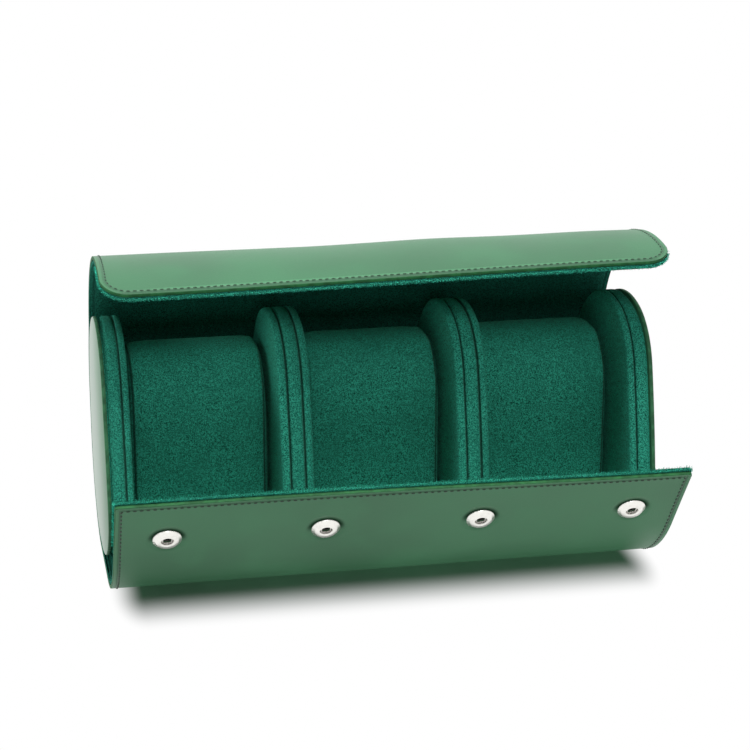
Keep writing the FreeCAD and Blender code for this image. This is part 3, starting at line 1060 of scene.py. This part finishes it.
class CASE_OT_cushions(Operator):
    """Builds the three stuffed suede cushions"""

    bl_idname = "travel_case.cushions"
    bl_label = "Cushions"

    def execute(self, context):
        form = stuffed(cushion_start(), context.scene.case_sizes)
        across_attribute(form, 0.0)
        form.materials.clear()
        for name in ("left", "centre", "right"):
            low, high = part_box("cushion_cover_" + name)
            mesh = form.copy()
            mesh.transform(Matrix.Translation(((low.x + high.x) / 2, 0.0, 0.0)))
            smooth(mesh, 80.0)
            obj = new_object("cushion_" + name, mesh, "cushion_suede")
            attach(obj, "cushion_" + name)
            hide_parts("cushion_cover_" + name, "cushion_core_" + name)
        return {"FINISHED"}


# Stitches


class NodeGroup(Tree):
    """A Geometry Nodes group with named inputs, which ends in real instances in one material."""

    def __init__(self, name, inputs):
        super().__init__(bpy.data.node_groups.new(name, "GeometryNodeTree"))
        for key, kind in inputs.items():
            self.tree.interface.new_socket(key, in_out="INPUT", socket_type="NodeSocket" + kind)
        self.tree.interface.new_socket("Result", in_out="OUTPUT", socket_type="NodeSocketGeometry")
        self.source = self.node("NodeGroupInput").outputs

    def random(self, low, high):
        inputs = {0: (low,) * 3, 1: (high,) * 3, "Seed": self.source["Seed"]}
        return self.node("FunctionNodeRandomValue", inputs, data_type="FLOAT_VECTOR")

    def turned(self, way, shake):
        """A rotation that points Z along a way, shaken by up to that much."""
        way = self.node("ShaderNodeVectorMath", {0: way, 1: self.random(-shake, shake)}, operation="ADD")
        return self.node("FunctionNodeAlignRotationToVector", {"Vector": way}, axis="Z")

    def finish(self, material, **instances):
        placed = self.node("GeometryNodeInstanceOnPoints", instances)
        real = self.node("GeometryNodeRealizeInstances", {"Geometry": placed})
        painted = self.node("GeometryNodeSetMaterial", {"Geometry": real, "Material": self.source[material]})
        self.node("NodeGroupOutput", {0: painted})
        return self.tree


def stitch_tree():
    """Geometry Nodes that set stitches along the edges of a path."""
    sizes = {name: "Float" for name in ("Pitch", "Length", "Thickness")}
    group = NodeGroup("Stitch row", {"Path": "Geometry", **sizes, "Seed": "Int", "Thread": "Material"})
    node, source = group.node, group.source
    curve = node("GeometryNodeMeshToCurve", {"Mesh": source["Path"]})
    spaced = node("GeometryNodeResampleCurve", {"Curve": curve, "Length": source["Pitch"]}, mode="LENGTH")
    size = node("ShaderNodeCombineXYZ", {0: source["Thickness"], 1: source["Thickness"], 2: source["Length"]})
    ball = node("GeometryNodeMeshUVSphere", {"Segments": 8, "Rings": 6, "Radius": 0.5})
    bean = node("GeometryNodeTransform", {"Geometry": ball, "Scale": size})
    turn = group.turned(node("GeometryNodeInputTangent"), 0.06)
    return group.finish("Thread", Points=spaced, Instance=bean, Rotation=turn)


def apply_tree(obj, tree, values):
    """Sets the tree's inputs by identifier and turns the result into a plain mesh."""
    modifier = obj.modifiers.new(tree.name, "NODES")
    modifier.node_group = tree
    for item in tree.interface.items_tree:
        if item.item_type == "SOCKET" and item.in_out == "INPUT" and item.name in values:
            modifier[item.identifier] = values[item.name]
    smooth(applied(obj), 80.0)
    return obj


def path_object(name, lines):
    """A mesh of edges along each line of points."""
    verts, edges = [], []
    for line in lines:
        start = len(verts)
        verts += [tuple(point) for point in line]
        edges += [(index, index + 1) for index in range(start, len(verts) - 1)]
    mesh = bpy.data.meshes.new(name)
    mesh.from_pydata(verts, edges, [])
    return new_object(name, mesh)


def seam_spot(strip, x, distance, point, heading):
    """Where the thread lies on the leather, never below the table."""
    spot = place(point + outward(heading, WRAP_THICK + settle(strip, x, distance) + THREAD_LIFT), x)
    spot.z = max(spot.z, bpy.context.scene.case_sizes.thread_thick / 2)
    return spot


def free_line(strip, inset):
    """Places round a free end, as across and distance: up one side, over and down the other."""
    far = REACHES[strip]
    radius = max(CORNERS[strip] - inset, 1.0 * MM)
    column = HALF_LENGTH - inset
    right = [(column, distance) for distance in spread(far, inset + radius, SIDE_POINTS)[:-1]]
    for turn in spread(0.0, QUARTER, TURN_POINTS):
        right.append((column - radius * (1 - math.cos(turn)), inset + radius * (1 - math.sin(turn))))
    across = [(x, inset) for x in spread(column - radius, radius - column, ACROSS_POINTS)[1:-1]]
    return right + across + [(-x, distance) for x, distance in right[::-1]]


def seam_lines(strip, inset):
    """The lines of thread on a strip: one round a free end, or one along each side."""
    if strip in CORNERS:
        line = free_line(strip, inset)
        return [[seam_spot(strip, x, distance, *from_edge(strip, distance)) for x, distance in line]]
    rows = strip_rows(strip)
    return [[seam_spot(strip, side * (HALF_LENGTH - inset), *row) for row in rows] for side in (-1.0, 1.0)]


class CASE_OT_stitches(Operator):
    """Sews the rows of stitches round the edges of the leather"""

    bl_idname = "travel_case.stitches"
    bl_label = "Stitches"

    def execute(self, context):
        sizes = context.scene.case_sizes
        tree = stitch_tree()
        values = {"Pitch": sizes.stitch_pitch, "Length": sizes.stitch_length, "Thickness": sizes.thread_thick}
        values["Seed"] = STITCH_SEED
        for strip in STRIPS:
            values["Thread"] = finish_named("lid_thread" if strip == "lid" else "sewing_thread")
            lines = seam_lines(strip, sizes.seam_inset + sizes.lining_step)
            obj = apply_tree(path_object("stitches_" + strip, lines), tree, values)
            bend(obj, strip)
        return {"FINISHED"}


# Suede fringe


def fringe_tree():
    """Geometry Nodes that set a short leaning tuft on every root."""
    inputs = {
        "Roots": "Geometry",
        "Length": "Float",
        "Thickness": "Float",
        "Seed": "Int",
        "Suede": "Material",
    }
    group = NodeGroup("Suede fringe", inputs)
    node, source = group.node, group.source
    roots = node("GeometryNodeMeshToPoints", {"Mesh": source["Roots"]})
    lean = node("GeometryNodeInputNamedAttribute", {"Name": "lean"}, data_type="FLOAT_VECTOR")
    cone = {"Vertices": 3, "Radius Top": FRINGE_TIP, "Radius Bottom": source["Thickness"]}
    tuft = node("GeometryNodeMeshCone", {**cone, "Depth": source["Length"]}, fill_type="NONE")
    turn, size = group.turned(lean, 0.7), group.random(0.5, 1.2)
    return group.finish("Suede", Points=roots, Instance=tuft, Rotation=turn, Scale=size)


def fringe_roots(strip, pitch):
    """A mesh of loose points along the suede's free edge, each with the way its nap leans."""
    way = -1.0 if strip == "front" else 1.0
    points, leans = [], []
    line = free_line(strip, FRINGE_INSET)
    for (x0, d0), (x1, d1) in zip(line, line[1:]):
        if min(d0, d1) > FRINGE_REACH:
            continue
        span = math.hypot(x1 - x0, d1 - d0)
        count = max(round(span / pitch), 1) * len(FRINGE_ROWS)
        for index in range(count):
            row = FRINGE_ROWS[index % len(FRINGE_ROWS)]
            x, distance = x0 + (x1 - x0) * index / count, d0 + (d1 - d0) * index / count
            point, heading = from_edge(strip, distance)
            points.append(place(point + outward(heading, row + settle(strip, x, distance)), x))
            past = ahead(heading) * (way * (x0 - x1) / span)
            leans += [(d0 - d1) / span, past.x, past.y]
    mesh = bpy.data.meshes.new("fringe_" + strip)
    mesh.from_pydata(points, [], [])
    mesh.attributes.new("lean", "FLOAT_VECTOR", "POINT").data.foreach_set("vector", leans)
    return new_object("fringe_" + strip, mesh)


class CASE_OT_fringe(Operator):
    """Raises the nap along the free edges of the suede"""

    bl_idname = "travel_case.fringe"
    bl_label = "Suede fringe"

    def execute(self, context):
        sizes = context.scene.case_sizes
        tree = fringe_tree()
        values = {"Length": sizes.fringe_length, "Thickness": FRINGE_THICK, "Seed": FRINGE_SEED}
        values["Suede"] = finish_named("fringe_suede")
        for strip in CORNERS:
            obj = apply_tree(fringe_roots(strip, sizes.fringe_pitch), tree, values)
            bend(obj, strip)
        return {"FINISHED"}


# Snaps


def snap_copy(node, body, finish, strip):
    """A smooth copy of a snap part, set where the strip that carries it has settled."""
    bm = bmesh.new()
    bm.from_mesh(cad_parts[node].data)
    merge(bm)
    distance = SNAP_EDGES[strip]
    heading = from_edge(strip, distance)[1]
    for vert in bm.verts:
        nearest = min(SNAP_PLACES, key=lambda x: abs(x - vert.co.x))
        vert.co += raised(outward(heading, settle(strip, nearest, distance)))
    mesh = mesh_from(node, bm)
    smooth(mesh, 30.0)
    obj = new_object(node.replace("snap_", "ring_"), mesh, finish)
    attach(obj, body)
    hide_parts(node)


class CASE_OT_snaps(Operator):
    """Sets the ring snaps, springs, studs and posts in bright and dull nickel, with painted shade in the
    bores and on the posts
    """

    bl_idname = "travel_case.snaps"
    bl_label = "Ring snaps"

    def execute(self, context):
        snap_copy("snap_sockets", "front_flap", "socket_nickel", "front")
        snap_copy("snap_springs", "front_flap", "snap_nickel", "front")
        snap_copy("snap_socket_posts", "front_flap", "snap_shaft", "front")
        snap_copy("snap_studs", "lid_front", "snap_nickel", "lid")
        snap_copy("snap_stud_posts", "lid_front", "snap_post", "lid")
        return {"FINISHED"}


# Stage


def add_lamp(name, spot, width, height, power):
    data = bpy.data.lights.new(name, "AREA")
    data.shape = "RECTANGLE"
    data.size = width
    data.size_y = height
    data.energy = power
    lamp = new_object(name, data)
    aim(lamp, spot, Vector(LAMP_TARGET) - Vector(spot))
    return lamp


class CASE_OT_stage(Operator):
    """Sets the pale table, the soft lamps and the camera"""

    bl_idname = "travel_case.stage"
    bl_label = "Stage"

    def execute(self, context):
        scene = context.scene
        scene.view_settings.view_transform = "Standard"
        floor = self.floor(tuple(scene.case_colours.floor))
        self.world(scene)
        add_lamp("lamp_top", (0.0, -0.36, 1.46), 0.5, 0.6, 17.0)
        spared = [
            add_lamp("lamp_left", (-1.4, 0.1, 0.55), 0.9, 0.6, 8.0),
            add_lamp("lamp_front", (-0.1, -1.4, 0.86), 0.5, 0.35, 6.8),
        ]
        self.spare(floor, spared)
        self.camera(scene)
        return {"FINISHED"}

    def floor(self, colour):
        """A table that the camera sees as white, apart from the shadow near the case."""
        bm = bmesh.new()
        bmesh.ops.create_grid(bm, x_segments=1, y_segments=1, size=FLOOR_SIZE)
        finish = Finish(bpy.data.materials.new("floor_white"))
        camera, seen = finish.rays()
        dull = finish.node(
            "ShaderNodeBsdfDiffuse", {"Color": finish.mixed(camera, colour, (FLOOR_LIFT,) * 3)}
        )
        white, glow = [finish.white("ShaderNodeEmission", strength) for strength in (1.0, FLOOR_GLOW)]
        x, y, _ = finish.axes()
        beside = (x.size() - FLOOR_HALF).most(0.0) * FLOOR_BESIDE
        before = ((y - FLOOR_MIDDLE).size() - FLOOR_DEEP).most(0.0)
        far = beside.hypot(before).band(0.0, FLOOR_FAR)
        finish.show(finish.blended(seen, glow, finish.blended(far, dull, white)))
        obj = new_object("floor", mesh_from("floor", bm), "floor_white")
        return obj

    def spare(self, floor, lamps):
        """The fill lamps light the case alone, so that the floor keeps its shadow."""
        for lamp in lamps:
            group = bpy.data.collections.new(lamp.name + "_spares")
            group.objects.link(floor)
            lamp.light_linking.receiver_collection = group
            group.collection_objects[0].light_linking.link_state = "EXCLUDE"

    def world(self, scene):
        """White where the camera or a reflection sees it, and a faint light elsewhere."""
        scene.world = bpy.data.worlds.new("studio")
        finish = Finish(scene.world)
        soft, white = [finish.white("ShaderNodeBackground", strength) for strength in (WORLD_GLOW, 1.0)]
        finish.show(finish.blended(finish.rays()[1], soft, white), "ShaderNodeOutputWorld")

    def camera(self, scene):
        data = bpy.data.cameras.new("camera")
        data.sensor_width = SENSOR_WIDTH
        data.lens = CAMERA_FOCUS_SHARE * SENSOR_WIDTH
        data.clip_start = 0.01
        scene.camera = new_object("camera", data)
        level = math.cos(CAMERA_PITCH)
        forward = Vector(
            (math.sin(CAMERA_YAW) * level, math.cos(CAMERA_YAW) * level, -math.sin(CAMERA_PITCH))
        )
        aim(scene.camera, CAMERA_PLACE, forward)


class CASE_PT_panel(Panel):
    """Lists the pieces of the case"""

    bl_label = "Travel Case"
    bl_idname = "CASE_PT_panel"
    bl_space_type = "VIEW_3D"
    bl_region_type = "UI"
    bl_category = "Travel Case"

    def draw(self, context):
        layout = self.layout
        for group in (context.scene.case_sizes, context.scene.case_colours):
            box = layout.box()
            for name in group.bl_rna.properties.keys():
                if name not in ("rna_type", "name"):
                    box.prop(group, name)
        for operator in OPERATORS:
            layout.operator(operator.bl_idname)


OPERATORS = [
    CASE_OT_cushions,
    CASE_OT_leather,
    CASE_OT_lining,
    CASE_OT_ends,
    CASE_OT_dividers,
    CASE_OT_stitches,
    CASE_OT_fringe,
    CASE_OT_snaps,
    CASE_OT_stage,
]


def register():
    for made in (CaseSizes, CaseColours, *OPERATORS, CASE_PT_panel):
        bpy.utils.register_class(made)
    bpy.types.Scene.case_sizes = PointerProperty(type=CaseSizes)
    bpy.types.Scene.case_colours = PointerProperty(type=CaseColours)


def unregister():
    del bpy.types.Scene.case_colours
    del bpy.types.Scene.case_sizes
    for made in (CASE_PT_panel, *reversed(OPERATORS), CaseColours, CaseSizes):
        bpy.utils.unregister_class(made)


def main():
    register()
    bpy.ops.travel_case.cushions()
    bpy.ops.travel_case.leather()
    bpy.ops.travel_case.lining()
    bpy.ops.travel_case.ends()
    bpy.ops.travel_case.dividers()
    bpy.ops.travel_case.stitches()
    bpy.ops.travel_case.fringe()
    bpy.ops.travel_case.snaps()
    bpy.ops.travel_case.stage()


if __name__ == "__main__":
    main()
